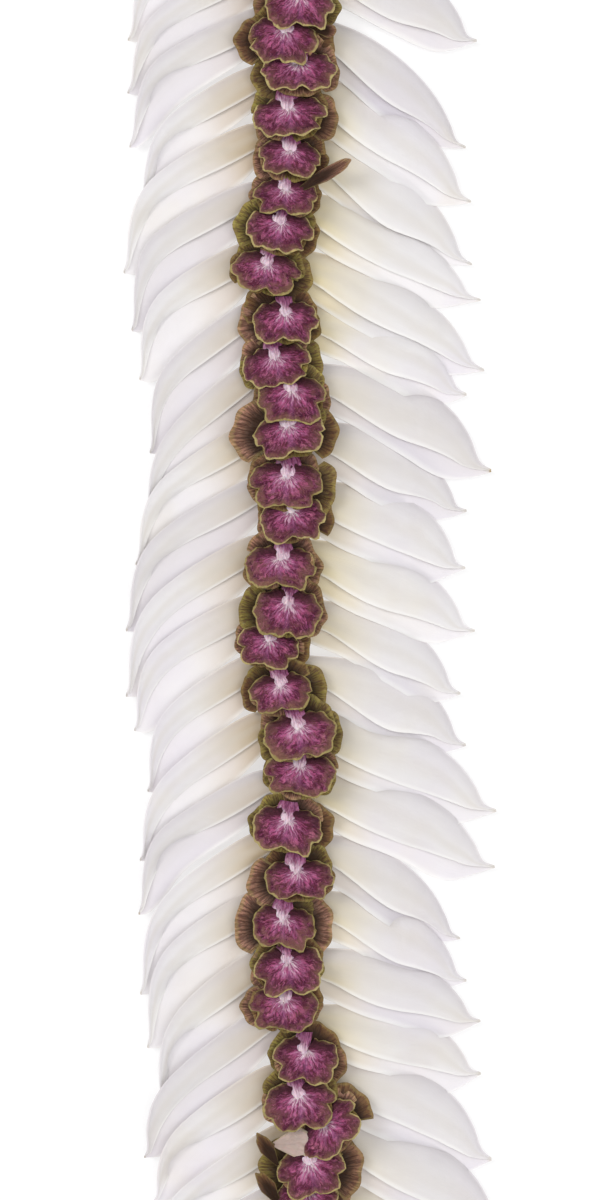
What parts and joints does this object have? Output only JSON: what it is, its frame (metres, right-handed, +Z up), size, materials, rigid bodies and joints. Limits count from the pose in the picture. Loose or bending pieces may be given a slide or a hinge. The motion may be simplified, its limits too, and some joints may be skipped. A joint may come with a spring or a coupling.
{
  "type": "flower lei",
  "caption": "Closed garland of folded white petals in overlapping pairs with a column of small purple-lipped orchids, lying flat in a long oval.",
  "frame": {"origin": "centre of the oval's footprint, on the surface it lies on", "axes": "+Z up from the surface, +Y along the oval's length towards the knot, +X across the oval"},
  "size_m": [0.264, 0.537, 0.0162],
  "materials": {
    "white_petal": "matte, slightly translucent",
    "purple_orchid": "matte",
    "cotton_thread": "matte"
  },
  "bodies": {
    "root": {"lei_thread": "cotton_thread", "thread_knot": "cotton_thread", "white_petals_01": "white_petal", "white_petals_02": "white_petal", "white_petals_03": "white_petal", "white_petals_04": "white_petal", "white_petals_05": "white_petal", "white_petals_06": "white_petal", "white_petals_07": "white_petal", "white_petals_08": "white_petal", "white_petals_09": "white_petal", "white_petals_10": "white_petal", "white_petals_11": "white_petal", "white_petals_12": "white_petal", "white_petals_13": "white_petal", "white_petals_14": "white_petal", "white_petals_15": "white_petal", "white_petals_16": "white_petal", "white_petals_17": "white_petal", "white_petals_18": "white_petal", "white_petals_19": "white_petal", "white_petals_20": "white_petal", "white_petals_21": "white_petal", "white_petals_22": "white_petal", "white_petals_23": "white_petal", "white_petals_24": "white_petal", "white_petals_25": "white_petal", "white_petals_26": "white_petal", "white_petals_27": "white_petal", "orchids_01": "purple_orchid", "orchids_02": "purple_orchid", "orchids_03": "purple_orchid", "orchids_04": "purple_orchid", "orchids_05": "purple_orchid", "orchids_06": "purple_orchid", "orchids_07": "purple_orchid", "orchids_08": "purple_orchid", "orchids_09": "purple_orchid", "orchids_10": "purple_orchid", "orchids_11": "purple_orchid", "orchids_12": "purple_orchid", "orchids_13": "purple_orchid", "orchids_14": "purple_orchid", "orchids_15": "purple_orchid", "orchids_16": "purple_orchid", "orchids_17": "purple_orchid", "orchids_18": "purple_orchid", "orchids_19": "purple_orchid", "orchids_20": "purple_orchid", "orchids_21": "purple_orchid", "orchids_22": "purple_orchid", "orchids_23": "purple_orchid", "orchids_24": "purple_orchid", "orchids_25": "purple_orchid", "orchids_26": "purple_orchid", "orchids_27": "purple_orchid", "orchids_28": "purple_orchid", "orchids_29": "purple_orchid"}
  },
  "joints": []
}
